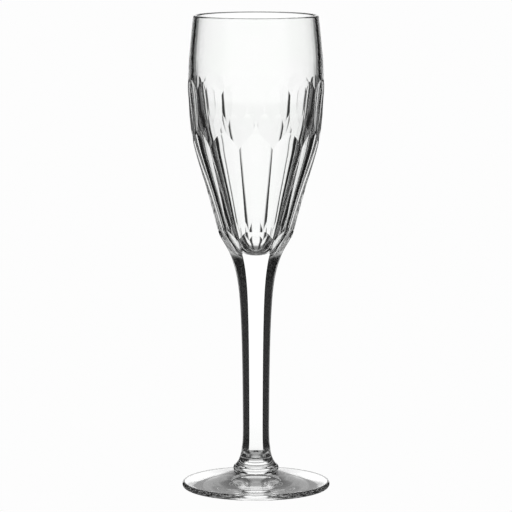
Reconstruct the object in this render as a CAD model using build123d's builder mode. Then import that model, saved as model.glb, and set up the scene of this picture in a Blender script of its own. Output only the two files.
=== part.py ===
from build123d import *
from math import cos, radians, sin, tan
import os

# A cut-crystal champagne flute, in millimetres, +Z up.
# The origin is the middle of the ring that the foot stands on.
# Three gathers of glass are joined hot, end to end: foot, stem and bowl.
# Heights inside a piece are measured from the joint below it.

# ---- foot: a thin domed disc, hollowed a little underneath ----
foot_radius = 32.9
foot_rim = 2.6                  # thickness of the rounded edge
foot_edge_roll = 1.3            # how far that rounding reaches in
foot_crown = 7.2                # height of the flat seat that carries the stem
foot_sag = 1.0                  # how far the top dips below a straight cone
foot_land = 4.6                 # width of the flat ring that touches the table
foot_kick = 0.6                 # height of the hollow underneath

# ---- stem: drawn round with a button at its foot, then cut with six flats ----
stem_length = 92.8
button_seat = 9.35              # radius where the button meets the foot
button_radius = 10.1
button_height = 1.5             # height of its widest line
button_top_radius = 9.5
button_top_height = 2.6
neck_radius = 6.7               # radius of the round neck above the button
neck_height = 9.0
waist_radius = 5.92             # corner radius of the slim part of the stem
waist_height = 20.0
middle_radius = 6.15
middle_height = 48.0
shoulder_radius = 7.1
shoulder_height = 75.0
stem_top_radius = 10.0          # corner radius at the joint under the bowl
stem_spare = 0.4                # glass outside the corners before cutting
stem_cut_count = 6
stem_cut_start_height = 9.6     # height where each stem flat begins
stem_cut_rise = 8.0             # how far the flats climb onto the bowl
stem_cut_end_radius = 13.4      # corner radius up there
stem_cut_start_swell = 0.48     # how far the blank stands out from the neck where they begin

# ---- bowl: a tall tulip, cut with twelve long flats below its belly ----
bowl_length = 110.0
rim_radius = 27.6
rim_lean = 6.7                  # degrees that the wall leans in at the rim
rim_round = 0.8                 # fire-polished edges of the rim
belly_radius = 29.92
belly_height = 79.0
arch_radius = 28.65             # radius where the long flats end in arches
arch_height = 60.5
bowl_cut_count = 12
long_cut_base = 12.2            # distance of a long flat from the axis, at the joint
long_cut_low = 15.95
long_cut_low_height = 12.5
long_cut_mid = 21.6
long_cut_mid_height = 33.8
long_cut_high = 25.8
long_cut_high_height = 48.0
bowl_spare = 0.7                # glass outside the ridges before cutting

# ---- short flats between the arches and the belly, half a step round ----
short_cut_bite = 0.6            # how far under the arches each one passes
short_cut_entry = 0.5           # how far outside them it starts, lower down
short_cut_entry_drop = 11.0     # how far below the arches that is
short_cut_shoulder = 1.06       # how far under the belly it still is near its top
short_cut_shoulder_drop = 6.2   # how far that is below its end
short_cut_crest_rise = 3.7      # how far above the belly line it ends

# ---- wall of the bowl, from the cavity out to the flats ----
rim_wall = 1.85
belly_wall = 2.45
arch_wall = 4.15
high_wall = 5.0
mid_wall = 5.5
low_wall = 6.9
cavity_floor = 5.5              # solid glass between the joint and the cavity

# ---- sizes worked out from the ones above ----
joint_z = foot_crown + stem_length
rim_z = joint_z + bowl_length
belly_z = joint_z + belly_height
arch_z = joint_z + arch_height
long_low_z = joint_z + long_cut_low_height
long_mid_z = joint_z + long_cut_mid_height
long_high_z = joint_z + long_cut_high_height
base_direction = (long_cut_low - long_cut_base, long_cut_low_height)
rim_direction = (-sin(radians(rim_lean)), cos(radians(rim_lean)))
short_crest_z = belly_z + short_cut_crest_rise
short_shoulder_z = short_crest_z - short_cut_shoulder_drop
stem_start_z = foot_crown + stem_cut_start_height
stem_end_z = joint_z + stem_cut_rise
hexagon_flat = cos(radians(180 / stem_cut_count))
stem_start_radius = neck_radius + stem_cut_start_swell
ridge = 1 / cos(radians(180 / bowl_cut_count))

# ---- the tools that cut the flats ----
run_out = 6.0                   # how far each cutter swings out past the end of its flat
run_out_rise = 12.0             # and how far it climbs while it does
stem_run_out_rise = 8.4
cutter_margin = 1.3             # how much wider a cutter is than the widest flat it makes
cutter_reach = max(belly_radius, arch_radius, rim_radius, stem_cut_end_radius) + run_out_rise
cutter_half_width = cutter_margin * cutter_reach * tan(radians(180 / bowl_cut_count))
stem_cutter_half_width = cutter_margin * stem_cut_end_radius * tan(radians(180 / stem_cut_count))


# ---- cutters: each one clears the glass outside a flat, along the plane through +X ----
with BuildPart() as stem_cutter:
    with BuildSketch(Plane.XZ):
        with BuildLine():
            flat = Spline(
                (hexagon_flat * stem_start_radius + run_out, stem_start_z - run_out),
                (hexagon_flat * stem_start_radius, stem_start_z),
                (hexagon_flat * waist_radius, foot_crown + waist_height),
                (hexagon_flat * middle_radius, foot_crown + middle_height),
                (hexagon_flat * shoulder_radius, foot_crown + shoulder_height),
                (hexagon_flat * stem_top_radius, joint_z),
                (hexagon_flat * stem_cut_end_radius, stem_end_z),
                (hexagon_flat * stem_cut_end_radius + run_out, stem_end_z + stem_run_out_rise),
            )
            Line(flat @ 1, (cutter_reach, (flat @ 1).Y))
            Line((cutter_reach, (flat @ 1).Y), (cutter_reach, (flat @ 0).Y))
            Line((cutter_reach, (flat @ 0).Y), flat @ 0)
        make_face()
    extrude(amount=stem_cutter_half_width, both=True)

with BuildPart() as long_cutter:
    with BuildSketch(Plane.XZ):
        with BuildLine():
            flat = Spline(
                (long_cut_base, joint_z),
                (long_cut_low, long_low_z),
                (long_cut_mid, long_mid_z),
                (long_cut_high, long_high_z),
                (arch_radius, arch_z),
                (arch_radius + run_out, arch_z + run_out_rise),
            )
            below = Line(flat @ 0, (long_cut_base, joint_z - run_out))
            Line(flat @ 1, (cutter_reach, (flat @ 1).Y))
            Line((cutter_reach, (flat @ 1).Y), (cutter_reach, joint_z - run_out))
            Line((cutter_reach, joint_z - run_out), below @ 1)
        make_face()
    extrude(amount=cutter_half_width, both=True)

with BuildPart() as short_cutter:
    with BuildSketch(Plane.XZ):
        with BuildLine():
            flat = Spline(
                (arch_radius + short_cut_entry, arch_z - short_cut_entry_drop),
                (arch_radius - short_cut_bite, arch_z),
                (belly_radius - short_cut_shoulder, short_shoulder_z),
                (belly_radius, short_crest_z),
                (belly_radius + run_out, short_crest_z + run_out_rise),
            )
            Line(flat @ 1, (cutter_reach, (flat @ 1).Y))
            Line((cutter_reach, (flat @ 1).Y), (cutter_reach, (flat @ 0).Y))
            Line((cutter_reach, (flat @ 0).Y), flat @ 0)
        make_face()
    extrude(amount=cutter_half_width, both=True)


# ---- foot ----
foot_edge_x = foot_radius - foot_edge_roll
foot_land_x = foot_edge_x - foot_land
with BuildPart() as foot:
    with BuildSketch(Plane.XZ):
        with BuildLine():
            Line((0, foot_kick), (0, foot_crown))
            Line((0, foot_crown), (button_seat, foot_crown))
            ThreePointArc(
                (button_seat, foot_crown),
                ((button_seat + foot_edge_x) / 2, (foot_crown + foot_rim) / 2 - foot_sag),
                (foot_edge_x, foot_rim),
            )
            ThreePointArc((foot_edge_x, foot_rim), (foot_radius, foot_rim / 2), (foot_edge_x, 0))
            Line((foot_edge_x, 0), (foot_land_x, 0))
            TangentArc((0, foot_kick), (foot_land_x, 0), tangent=(1, 0))
        make_face()
    revolve(axis=Axis.Z)
foot.part.label = "foot"


# ---- stem ----
with BuildPart() as stem:
    with BuildSketch(Plane.XZ):
        with BuildLine():
            Line((0, foot_crown), (button_seat, foot_crown))
            bead = ThreePointArc(
                (button_seat, foot_crown),
                (button_radius, foot_crown + button_height),
                (button_top_radius, foot_crown + button_top_height),
            )
            blank = Spline(
                bead @ 1,
                (neck_radius, foot_crown + neck_height),
                (waist_radius + stem_spare, foot_crown + waist_height),
                (middle_radius + stem_spare, foot_crown + middle_height),
                (shoulder_radius + stem_spare, foot_crown + shoulder_height),
                (stem_top_radius + stem_spare, joint_z),
            )
            Line(blank @ 1, (0, joint_z))
            Line((0, joint_z), (0, foot_crown))
        make_face()
    revolve(axis=Axis.Z)
    with PolarLocations(0, stem_cut_count, start_angle=-90):
        add(stem_cutter.part, mode=Mode.SUBTRACT)
stem.part.label = "stem"


# ---- bowl ----
with BuildPart() as bowl:
    with BuildSketch(Plane.XZ):
        with BuildLine():
            outside = Spline(
                (ridge * long_cut_base + bowl_spare, joint_z),
                (ridge * long_cut_low + bowl_spare, long_low_z),
                (ridge * long_cut_mid + bowl_spare, long_mid_z),
                (ridge * long_cut_high + bowl_spare, long_high_z),
                (arch_radius, arch_z),
                (belly_radius, belly_z),
                (rim_radius, rim_z),
                tangents=(base_direction, rim_direction),
            )
            inside = Spline(
                (0, joint_z + cavity_floor),
                (long_cut_low - low_wall, long_low_z),
                (long_cut_mid - mid_wall, long_mid_z),
                (long_cut_high - high_wall, long_high_z),
                (arch_radius - arch_wall, arch_z),
                (belly_radius - belly_wall, belly_z),
                (rim_radius - rim_wall, rim_z),
                tangents=((1, 0), rim_direction),
                tangent_scalars=(1, 1),
            )
            Line(outside @ 1, inside @ 1)
            Line(inside @ 0, (0, joint_z))
            Line((0, joint_z), outside @ 0)
        make_face()
    revolve(axis=Axis.Z)
    fillet(bowl.edges().filter_by(GeomType.CIRCLE).group_by(Axis.Z)[-1], rim_round)
    with PolarLocations(0, bowl_cut_count, start_angle=-90):
        add(long_cutter.part, mode=Mode.SUBTRACT)
    with PolarLocations(0, bowl_cut_count, start_angle=-90 + 180 / bowl_cut_count):
        add(short_cutter.part, mode=Mode.SUBTRACT)
    with PolarLocations(0, stem_cut_count, start_angle=-90):
        add(stem_cutter.part, mode=Mode.SUBTRACT)
bowl.part.label = "bowl"


os.makedirs("parts", exist_ok=True)
export_step(foot.part, "parts/foot.step")
export_step(stem.part, "parts/stem.step")
export_step(bowl.part, "parts/bowl.step")
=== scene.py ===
from math import cos, pi, radians, sin

import bpy
import numpy as np
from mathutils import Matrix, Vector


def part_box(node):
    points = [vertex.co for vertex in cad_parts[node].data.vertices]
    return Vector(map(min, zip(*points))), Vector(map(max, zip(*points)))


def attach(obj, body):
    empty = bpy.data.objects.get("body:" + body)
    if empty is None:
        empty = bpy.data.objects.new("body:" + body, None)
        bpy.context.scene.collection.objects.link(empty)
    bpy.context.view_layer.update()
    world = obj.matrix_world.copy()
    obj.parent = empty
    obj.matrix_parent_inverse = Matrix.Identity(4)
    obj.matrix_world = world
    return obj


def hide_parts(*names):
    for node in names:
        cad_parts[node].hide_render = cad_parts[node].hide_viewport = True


# A cut-crystal champagne flute: bowl, stem and foot, joined hot.
# Lengths are millimetres until a mesh is made, and the mesh is in metres.
# Heights count from the table, and radii from the flute's upright axis.
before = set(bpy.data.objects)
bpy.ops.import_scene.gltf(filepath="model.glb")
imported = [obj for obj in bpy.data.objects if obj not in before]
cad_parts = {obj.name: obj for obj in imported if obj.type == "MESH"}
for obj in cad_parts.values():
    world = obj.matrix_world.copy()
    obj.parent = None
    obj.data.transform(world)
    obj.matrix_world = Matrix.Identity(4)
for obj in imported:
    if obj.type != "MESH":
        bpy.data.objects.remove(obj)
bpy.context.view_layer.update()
MM = 0.001


def node_span(node):
    """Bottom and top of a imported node, in millimetres."""
    low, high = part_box(node)
    return low[2] / MM, high[2] / MM


joint_z, rim_z = node_span("bowl")              # the bowl meets the stem at joint_z
crown_z, _ = node_span("stem")                  # the stem meets the foot at crown_z
foot_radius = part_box("foot")[1][0] / MM


# ---------------------------------------------------------------- outlines

def outline(points):
    """A smooth curve through (height, radius) points, as a function of height.

    The slope at each point follows its neighbours and never overshoots them.
    Beyond both ends the curve goes on straight.
    """
    heights, radii = (np.array(column, float) for column in zip(*points))
    step = np.diff(heights)
    rise = np.diff(radii) / step
    slope = np.empty(len(heights))
    slope[0], slope[-1] = rise[0], rise[-1]
    for i in range(1, len(heights) - 1):
        if rise[i - 1] * rise[i] <= 0:
            slope[i] = 0.0
            continue
        before, after = 2 * step[i] + step[i - 1], step[i] + 2 * step[i - 1]
        slope[i] = (before + after) / (before / rise[i - 1] + after / rise[i])

    def radius(height):
        height = np.asarray(height, float)
        i = np.clip(np.searchsorted(heights, height, side="right") - 1, 0, len(step) - 1)
        t = (height - heights[i]) / step[i]
        u = np.clip(t, 0.0, 1.0)
        a, b = radii[i], radii[i + 1]
        m, n = slope[i] * step[i], slope[i + 1] * step[i]
        curve = a + u * m + u * u * (3 * (b - a) - 2 * m - n) + u ** 3 * (2 * (a - b) + m + n)
        return curve + np.where(t < 0, t * m, 0.0) + np.where(t > 1, (t - 1) * n, 0.0)

    return radius


def above(base, pairs):
    """The same (height, radius) points with their heights counted from base."""
    return [(base + height, radius) for height, radius in pairs]


arch_z = joint_z + 60.5                         # tops of the long flats
strip_end_z = joint_z + 69.0                    # strips left between the short flats close below this
belly_z = joint_z + 79.0                        # the bowl is widest here
crest_z = joint_z + 82.8                        # tops of the short flats

# The turned blank, before any cutting.
blank = outline(
    above(joint_z, [(0, 13.3), (12.5, 17.2), (33.8, 23.1), (48, 27.45), (54, 28.2)])
    + [(arch_z, 28.65), (joint_z + 69.2, 29.47), (belly_z + 0.5, 29.92)]
    + above(rim_z, [(-19.7, 29.51), (-9.2, 28.63), (0, 27.6)])
)
# How far each kind of flat lies from the axis.
long_flat = outline(
    above(joint_z, [(0, 12.2), (12.5, 15.95), (19.6, 17.75), (33.8, 21.6), (48, 25.8), (54, 27.35)])
    + above(arch_z, [(0, 28.65), (6, 31.5)])
)
short_flat = outline(
    above(arch_z, [(-11, 29.15), (-5.5, 28.35), (0, 28.05)])
    + above(joint_z, [(66.5, 28.26), (76.5, 28.86)])
    + above(crest_z, [(0, 29.9), (6, 34)])
)
# The stem's flats are set out by the radius of the corners between them.
HEX = cos(radians(30))                          # a hexagon's flat against its corner
stem_corners = (
    above(crown_z, [(4.0, 9.0), (6.6, 7.3), (9.6, 6.55), (13.7, 6.0), (19, 5.88), (30, 5.94)])
    + above(crown_z, [(48, 6.15), (62.4, 6.51), (73, 7.0), (78.5, 7.39), (83.9, 8.01)])
    + above(joint_z, [(-3.6, 8.98), (1.8, 10.57), (5.4, 12.02), (8, 13.48), (10.7, 15.05)])
    + above(joint_z, [(13, 16.7), (20, 23)])
)
stem_flat = outline([(height, HEX * corner) for height, corner in stem_corners])
cavity = outline(
    above(joint_z, [(9.5, 7.3), (12, 8.9), (15, 10.15), (20, 11.8), (30, 14.9), (40, 18.1)])
    + above(joint_z, [(50, 21.4), (60, 24.25), (70, 26.4), (80, 27.5)])
    + above(rim_z, [(-20, 27.4), (-10, 26.7), (0, 25.75)])
)


def crossing(gap, low, high, rounds=46):
    """Where gap(height) turns from negative to positive between low and high, line by line."""
    for _ in range(rounds):
        middle = (low + high) / 2
        under = gap(middle) < 0
        low, high = np.where(under, middle, low), np.where(under, high, middle)
    return (low + high) / 2


# ---------------------------------------------------------------- mesh helpers
SHARP = radians(5.5)            # faces that meet at more than this keep a crisp edge
CAP = (0, 0.35, 0.7)            # middle point and rings of an end face, as shares of its radius
ROUND_LINES = 144               # upright mesh lines round the stem and the foot
round_angles = np.arange(ROUND_LINES) * 2 * pi / ROUND_LINES


def spread(start, stop, rows):
    """Evenly spread values from just after start up to stop."""
    return np.linspace(start, stop, rows + 1)[1:]


def cap(angle, radius, height):
    """Rows of a flat end face, from its middle outwards and without its own edge."""
    return [(angle, radius * share, height) for share in CAP]


def lathe(name, rows, fused_below=False, fused_above=False):
    """A closed mesh from rows of (angle, radius, height), from its lower middle to its upper one.

    The first and last rows shrink to a point. A fused end face takes the second material.
    """
    count, bands = len(rows[0][0]), len(rows) - 1
    rings = [np.stack([
        radius * np.sin(angle), -radius * np.cos(angle), np.broadcast_to(height, angle.shape)
    ], axis=-1) for angle, radius, height in rows]
    points = np.concatenate([rings[0][:1]] + rings[1:-1] + [rings[-1][:1]]) * MM
    top = len(points) - 1
    fused = list(range(len(CAP))) * fused_below
    fused += list(range(bands - len(CAP), bands)) * fused_above
    faces, slots = [], []
    for band in range(bands):
        lower, upper = 1 + (band - 1) * count, 1 + band * count
        for j in range(count):
            k = (j + 1) % count
            if band == 0:
                faces.append((0, upper + k, upper + j))
            elif band == bands - 1:
                faces.append((lower + j, lower + k, top))
            else:
                faces.append((lower + j, lower + k, upper + k, upper + j))
            slots.append(int(band in fused))
    mesh = bpy.data.meshes.new(name)
    mesh.from_pydata(points.tolist(), [], faces)
    mesh.polygons.foreach_set("use_smooth", [True] * len(faces))
    mesh.polygons.foreach_set("material_index", slots)
    mesh.set_sharp_from_angle(angle=SHARP)
    mesh.update()
    piece = bpy.data.objects.new(name, mesh)
    bpy.context.scene.collection.objects.link(piece)
    return piece


# ---------------------------------------------------------------- bowl
SIDES = 12                      # long flats, and as many short ones half a step round
HALF_STEP = pi / SIDES
HALF_LINES = 9                  # mesh lines on each side of a long flat's middle
FLATTENED = radians(0.22)       # the acid polish flattens each cut edge of the bowl this much
HEX_FLATTENED = radians(1.2)    # and each corner of the stem this much
LEAD_IN = 6.0                   # the mesh lines move out to the strips over this, up to arch_z


def strip_half_width(height):
    """Half the angle of the strip of blank left between two short flats, or of their ridge."""
    ratio = np.clip(short_flat(height) / blank(height), -1, 1)
    strip = np.where(height > strip_end_z, 0.0, HALF_STEP - np.arccos(ratio))
    lead = np.clip((height - arch_z + LEAD_IN) / LEAD_IN, 0, 1)
    return np.maximum(strip * lead, FLATTENED)


def line_angles(height):
    """The angle of each of the bowl's mesh lines at a height, or at one height for each line.

    Every long flat has a line down its middle and one down each of its edges. The first lines
    beside the middle follow the edges of the strip, and the rest lie evenly between.
    """
    numbers = np.arange(2 * HALF_LINES * SIDES)
    side, place = np.divmod(numbers + HALF_LINES, 2 * HALF_LINES)
    place = place - HALF_LINES
    step = np.abs(place)
    strip = strip_half_width(height)
    inner = strip + (HALF_STEP - FLATTENED - strip) * (step - 1) / (HALF_LINES - 2)
    off = np.where(step == 0, 0.0, np.where(step == HALF_LINES, HALF_STEP, inner))
    return side * 2 * HALF_STEP + np.sign(place) * off


def off_centre(angle, pitch, start=0.0):
    """Angle from the middle of the nearest of a ring of evenly spaced flats."""
    return np.abs((angle - start + pitch / 2) % pitch - pitch / 2)


def long_radius(angle, height):
    off = np.minimum(off_centre(angle, 2 * HALF_STEP), HALF_STEP - FLATTENED)
    return long_flat(height) / np.cos(off)


def short_radius(angle, height):
    off = np.minimum(off_centre(angle, 2 * HALF_STEP, HALF_STEP), HALF_STEP - FLATTENED)
    return np.minimum(short_flat(height) / np.cos(off), blank(height))


def hex_radius(angle, height):
    off = np.minimum(off_centre(angle, pi / 3), pi / 6 - HEX_FLATTENED)
    return stem_flat(height) / np.cos(off)


def long_over_short(height):
    angle = line_angles(height)
    return long_radius(angle, height) - short_radius(angle, height)


def short_over_blank(height):
    off = off_centre(line_angles(height), 2 * HALF_STEP, HALF_STEP)
    return short_flat(height) / np.cos(off) - blank(height)


# Where one kind of surface gives way to the next, on each mesh line. The mesh rows follow
# these borders, so that the edges of the cuts stay crisp.
base = line_angles(joint_z)
hex_top = crossing(lambda z: hex_radius(base, z) - long_radius(base, z), joint_z, joint_z + 18)
arch = crossing(long_over_short, arch_z - 12, arch_z + 4)
crest = crossing(short_over_blank, joint_z + 73, crest_z + 4)


def band(low, high, radius, shares):
    """Mesh rows between two borders, at the given shares of the way up."""
    rows = []
    for share in shares:
        height = low + (high - low) * share
        angle = line_angles(height)
        rows.append((angle, radius(angle, height), height))
    return rows


def make_bowl():
    lip = 0.8                   # height of the rounded rim
    floor_z, floor_depth = joint_z + 5.5, 4.0
    top, floor_top = rim_z - lip, floor_z + floor_depth
    rows = cap(base, hex_radius(base, joint_z), joint_z)
    rows += band(joint_z, hex_top, hex_radius, np.linspace(0, 1, 15))
    rows += band(hex_top, arch, long_radius, spread(0, 1, 60))
    rows += band(arch, crest, short_radius, spread(0, 1, 32))
    rows += band(crest, top, lambda angle, height: blank(height), spread(0, 1, 24))
    # fire-polished rim: the outer wall rolls over into the inner one
    outer, inner = blank(top), cavity(top)
    middle, half = (outer + inner) / 2, (outer - inner) / 2
    plain = line_angles(rim_z)
    for turn in spread(0, pi, 14)[:-1]:
        rows.append((plain, middle + half * cos(turn), top + lip * sin(turn)))
    # inside wall, from the rim down to the floor
    for height in [top, *spread(top, belly_z, 23), *spread(belly_z, floor_top, 69)]:
        rows.append((plain, cavity(height), height))
    # round floor: its power curve leaves the wall at the wall's slope and ends level
    floor_radius, rise = cavity(floor_top), 0.01
    slope = (cavity(floor_top + rise) - floor_radius) / rise
    power = floor_radius / (slope * floor_depth)
    for share in 1 - spread(0, 1, 16):
        rows.append((plain, floor_radius * share, floor_z + floor_depth * share ** power))
    return lathe("crystal_bowl", rows, fused_below=True)


# ---------------------------------------------------------------- stem
BEAD_RADIUS = 9.0               # the button is a bead: its middle circle,
BEAD_BULGE = 1.1                # how far it bulges out from there,
BEAD_HALF = 1.35                # half its height,
BEAD_CUT = radians(55)          # and how far round it goes above and below its middle
seat_radius = BEAD_RADIUS + BEAD_BULGE * cos(BEAD_CUT)


def make_stem():
    angle = round_angles
    flare = outline(
        above(crown_z, [(2.6, 9.4), (3.7, 8.5), (5.5, 7.45), (6.4, 7.05), (8.3, 6.6), (10.5, 6.35)])
        + above(crown_z, [(14, 6.4), (19, 6.35), (48, 6.6), (75, 7.6)])
        + [(joint_z, 10.6)]
    )
    rows = cap(angle, seat_radius, crown_z)
    for turn in np.linspace(-BEAD_CUT, BEAD_CUT, 11):
        height = crown_z + BEAD_HALF * (1 + sin(turn) / sin(BEAD_CUT))
        rows.append((angle, BEAD_RADIUS + BEAD_BULGE * cos(turn), height))
    # the round flare runs out into the six flats
    bead_top = crown_z + 2 * BEAD_HALF
    flats_start = crossing(lambda z: flare(z) - hex_radius(angle, z), crown_z + 7, crown_z + 26)
    for share in spread(0, 1, 24):
        height = bead_top + (flats_start - bead_top) * share
        rows.append((angle, flare(height), height))
    for share in spread(0, 1, 79):
        height = flats_start + (joint_z - flats_start) * share
        rows.append((angle, np.minimum(hex_radius(angle, height), flare(height)), height))
    rows += reversed(cap(angle, hex_radius(angle, joint_z), joint_z))
    return lathe("crystal_stem", rows, fused_below=True, fused_above=True)


# ---------------------------------------------------------------- foot
def make_foot():
    angle = round_angles
    edge_reach, edge_height = 1.3, 2.6          # the rounded edge
    hollow = 0.6                                # depth of the hollow under the foot
    land = 4.6                                  # width of the flat ring that it stands on
    sag = 1.0                                   # how far the top dips below a straight slope
    edge_end = pi / 2 - 0.15                    # the edge's curve stops just before it is level
    land_outer = foot_radius - edge_reach
    land_inner = land_outer - land
    rows = [(angle, 0, hollow)]
    for share in spread(0, 1, 13):
        rows.append((angle, land_inner * share, hollow * (1 - share * share)))
    for share in spread(0, 1, 2):
        rows.append((angle, land_inner + land * share, 0))
    for turn in spread(-pi / 2, edge_end, 14):
        edge_radius = land_outer + edge_reach * cos(turn)
        edge_z = edge_height / 2 * (1 + sin(turn))
        rows.append((angle, edge_radius, edge_z))
    for share in spread(0, 1, 25):
        dip = 4 * sag * share * (1 - share)
        radius = edge_radius + (seat_radius - edge_radius) * share
        rows.append((angle, radius, edge_z + (crown_z - edge_z) * share - dip))
    rows += reversed(cap(angle, seat_radius, crown_z))
    return lathe("crystal_foot", rows, fused_above=True)


# ---------------------------------------------------------------- materials
def linear(code):
    """sRGB hex to linear RGBA."""
    channels = [int(code[i:i + 2], 16) / 255 for i in (1, 3, 5)]
    return [c / 12.92 if c <= 0.04045 else ((c + 0.055) / 1.055) ** 2.4 for c in channels] + [1.0]


def add(tree, kind, settings=(), links=()):
    """A new node. Settings go to its inputs, by name or number, or else to its own properties."""
    node = tree.nodes.new(kind)
    for name, value in dict(settings).items():
        if isinstance(name, int) or name in node.inputs:
            node.inputs[name].default_value = value
        else:
            setattr(node, name, value)
    for name, source in dict(links).items():
        tree.links.new(source, node.inputs[name])
    return node


def new_material(name):
    material = bpy.data.materials.new(name)
    material.use_nodes = True
    material.node_tree.nodes.clear()
    return material, material.node_tree


def crystal():
    """Crystal glass, blown and cut, then acid-polished.

    The eye sees a clear, nearly white glass with crisp dark edges. Long, faint waves left by
    blowing and by the cutting wheel make the edges of reflections waver a little, and the
    acid bath leaves some patches a trace less glossy and a trace greener than others.
    """
    material, tree = new_material("crystal_glass_cut_and_acid_polished")
    place = add(tree, "ShaderNodeTexCoord")
    # waves about 9 mm wide and 25 mm tall, a few thousandths of a millimetre deep
    stretched = add(tree, "ShaderNodeVectorMath", {"operation": "MULTIPLY", 1: (1, 1, 0.36)},
                    {0: place.outputs["Object"]})
    waves = add(tree, "ShaderNodeTexNoise", {"Scale": 110.0, "Detail": 1.0, "Roughness": 0.4},
                {"Vector": stretched.outputs[0]})
    # ripples about 1.5 mm apart that the wheel leaves across its path
    ripples = add(tree, "ShaderNodeTexNoise", {"Scale": 650.0, "Detail": 0.0},
                  {"Vector": place.outputs["Object"]})
    wavy = add(tree, "ShaderNodeBump", {"Strength": 1.0, "Distance": 0.000012},
               {"Height": waves.outputs[0]})
    fine = add(tree, "ShaderNodeBump", {"Strength": 1.0, "Distance": 0.0000006},
               {"Height": ripples.outputs[0], "Normal": wavy.outputs[0]})
    # polish: patches about 15 mm across
    patches = add(tree, "ShaderNodeTexNoise", {"Scale": 65.0, "Detail": 2.0},
                  {"Vector": place.outputs["Object"]})
    gloss = add(tree, "ShaderNodeMapRange", {
        "From Min": 0.3, "From Max": 0.7, "To Min": 0.0, "To Max": 0.012,
    }, {"Value": patches.outputs[0]})
    # a colour's sockets are 6 (value), 7 and 8 (from), 9 and 10 (to), as their names aren't unique
    tint = add(tree, "ShaderNodeMapRange", {
        "data_type": "FLOAT_VECTOR", 7: (0.3, 0.3, 0.3), 8: (0.7, 0.7, 0.7),
        9: linear("#fefffe")[:3], 10: linear("#ffffff")[:3],
    }, {6: patches.outputs[0]})
    glass = add(tree, "ShaderNodeBsdfPrincipled", {"IOR": 1.52, "Transmission Weight": 1.0}, {
        "Base Color": tint.outputs[1], "Roughness": gloss.outputs[0], "Normal": fine.outputs[0],
    })
    add(tree, "ShaderNodeOutputMaterial", links={"Surface": glass.outputs[0]})
    return material


def fused():
    """The hot joint between two pieces: nothing is left to see, so its faces are clear."""
    material, tree = new_material("fused_joint")
    clear = add(tree, "ShaderNodeBsdfPrincipled", {"Alpha": 0.0, "IOR": 1.0, "Roughness": 0.0})
    add(tree, "ShaderNodeOutputMaterial", links={"Surface": clear.outputs[0]})
    return material


glass, joint = crystal(), fused()
for piece, node in ((make_bowl(), "bowl"), (make_stem(), "stem"), (make_foot(), "foot")):
    piece.data.materials.append(glass)
    piece.data.materials.append(joint)
    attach(piece, "root")
    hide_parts(node)


# ---------------------------------------------------------------- camera and studio
# From here on lengths are metres.
SENSOR, LENS = 36, 223.84       # the camera's own sizes are millimetres
CAMERA_BACK, CAMERA_UP = 1.39495, 0.2888
PITCH = radians(7.564)          # the camera looks this far down
DISTANCE = 1.4072               # from the lens to the flute's axis, along the line of sight
TENT_RADIUS = 4.0
FLOOR_Z = -0.0005               # just below the foot, so that the two never share a plane
PALE = 0.982                    # how bright the floor and the background are

camera_data = bpy.data.cameras.new("camera")
camera = bpy.data.objects.new("camera", camera_data)
bpy.context.scene.collection.objects.link(camera)
camera_data.sensor_width = SENSOR
camera_data.lens = LENS
camera.location = (0, -CAMERA_BACK, CAMERA_UP)
camera.rotation_euler = (pi / 2 - PITCH, 0, 0)
bpy.context.scene.camera = camera

# The lights hang from the camera, so every view of the flute is lit alike.
# The rig's own axes are the room's: x right, y away from the camera, z up.
rig = bpy.data.objects.new("studio_rig", None)
bpy.context.scene.collection.objects.link(rig)
rig.parent = camera
rig.location = (0, 0, -DISTANCE)
rig.rotation_euler = (PITCH - pi / 2, 0, 0)


def room_point(azimuth, elevation, reach):
    """A place in the rig's own axes. Azimuth counts from straight behind the flute, in degrees."""
    a, e = radians(azimuth), radians(elevation)
    return (reach * sin(a) * cos(e), reach * cos(a) * cos(e), reach * sin(e))


def staged(name, points, faces, material, parent=None, seen=False):
    """A stage mesh that either the camera alone sees, or the glass alone."""
    mesh = bpy.data.meshes.new(name)
    mesh.from_pydata(points, [], faces)
    mesh.materials.append(material)
    thing = bpy.data.objects.new(name, mesh)
    bpy.context.scene.collection.objects.link(thing)
    thing.parent = parent
    thing.visible_camera = seen
    thing.visible_glossy = thing.visible_transmission = not seen
    thing.visible_diffuse = thing.visible_shadow = False


def shine(tree, settings, links=()):
    """A glowing surface, as the material's output."""
    lit = add(tree, "ShaderNodeEmission", {"Color": (1, 1, 1, 1), **settings}, links)
    add(tree, "ShaderNodeOutputMaterial", links={"Surface": lit.outputs[0]})


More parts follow.
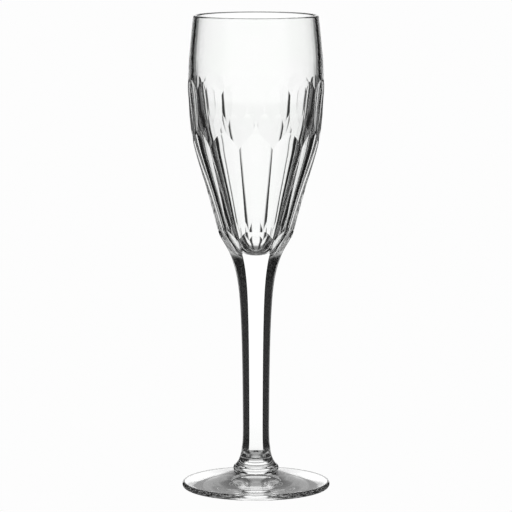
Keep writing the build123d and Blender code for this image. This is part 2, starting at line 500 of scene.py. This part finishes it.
def glow():
    """The tent's light, which depends only on the direction from the flute.

    Azimuth goes from 0 straight behind the flute to 180 at the camera, alike on both sides.
    """
    material, tree = new_material("studio_tent")

    def combine(operation, *sources):
        return add(tree, "ShaderNodeMath", {"operation": operation}, enumerate(sources)).outputs[0]

    def between(source, start, stop, first, last):
        """Changes smoothly from first to last as an angle goes from start to stop degrees."""
        return add(tree, "ShaderNodeMapRange", {
            "interpolation_type": "SMOOTHSTEP", "From Min": radians(start), "From Max": radians(stop),
            "To Min": first, "To Max": last,
        }, {"Value": source}).outputs[0]

    place = add(tree, "ShaderNodeTexCoord")
    unit = add(tree, "ShaderNodeVectorMath", {"operation": "NORMALIZE"}, {0: place.outputs["Object"]})
    x, y, z = add(tree, "ShaderNodeSeparateXYZ", links={0: unit.outputs[0]}).outputs
    azimuth = combine("ARCTAN2", combine("ABSOLUTE", x), y)
    elevation = combine("ARCSINE", z)

    # a bright card behind the flute: firm upright edges, weak ends, and a lower part that is
    # a little less bright
    card = combine("MULTIPLY", between(azimuth, 13, 19, 1.09, 0), between(elevation, -34, -20, 0.2, 1))
    card = combine("MULTIPLY", card, between(elevation, 24, 44, 1, 0.1))
    card = combine("MULTIPLY", card, between(elevation, -13, -9, 0.94, 1))
    # weak light from above, more of it at the sides than over the card
    high = combine("MULTIPLY", between(azimuth, 22, 60, 0.1, 0.35), between(elevation, 22, 36, 0, 1))
    # nearly dark next to the card, weak light from the sides, and less of both from below
    sides = combine("MULTIPLY", between(azimuth, 50, 65, 0.006, 0.15),
                    between(elevation, -30, -18, 0.1, 1))
    # weak light from the camera's end of the room
    front = between(azimuth, 110, 130, 0, 0.25)
    level = combine("ADD", card, combine("ADD", front, combine("ADD", sides, high)))
    shine(tree, {}, {"Strength": level})
    return material


def paper():
    """A plain, evenly lit floor with no shadow on it."""
    material, tree = new_material("pale_floor")
    shine(tree, {"Strength": PALE})
    return material


def tent():
    """A dome all round the flute, which only the glass sees."""
    points, faces = [], []
    turns, levels = 48, 24
    for i in range(levels + 1):
        for j in range(turns):
            points.append(room_point(360 * j / turns, -90 + 180 * i / levels, TENT_RADIUS))
    for i in range(levels):
        for j in range(turns):
            a, b = i * turns + j, i * turns + (j + 1) % turns
            faces.append((a, b, b + turns, a + turns))
    staged("studio_tent", points, faces, glow(), rig)


def floor():
    """A floor that only the camera sees. The background is as bright, so no edge shows."""
    left, right, near, far = -8, 8, -3, 9
    corners = [(left, near, FLOOR_Z), (right, near, FLOOR_Z), (right, far, FLOOR_Z), (left, far, FLOOR_Z)]
    staged("floor", corners, [(0, 1, 2, 3)], paper(), seen=True)


tent()
floor()

world = bpy.data.worlds.new("studio")
bpy.context.scene.world = world
world.use_nodes = True
world.node_tree.nodes["Background"].inputs[0].default_value = (PALE, PALE, PALE, 1)
world.cycles_visibility.glossy = False
world.cycles_visibility.transmission = False
world.cycles_visibility.diffuse = False
bpy.context.scene.view_settings.view_transform = "Standard"
bpy.context.scene.cycles.max_bounces = 24
bpy.context.scene.cycles.transmission_bounces = 24
bpy.context.scene.cycles.glossy_bounces = 12
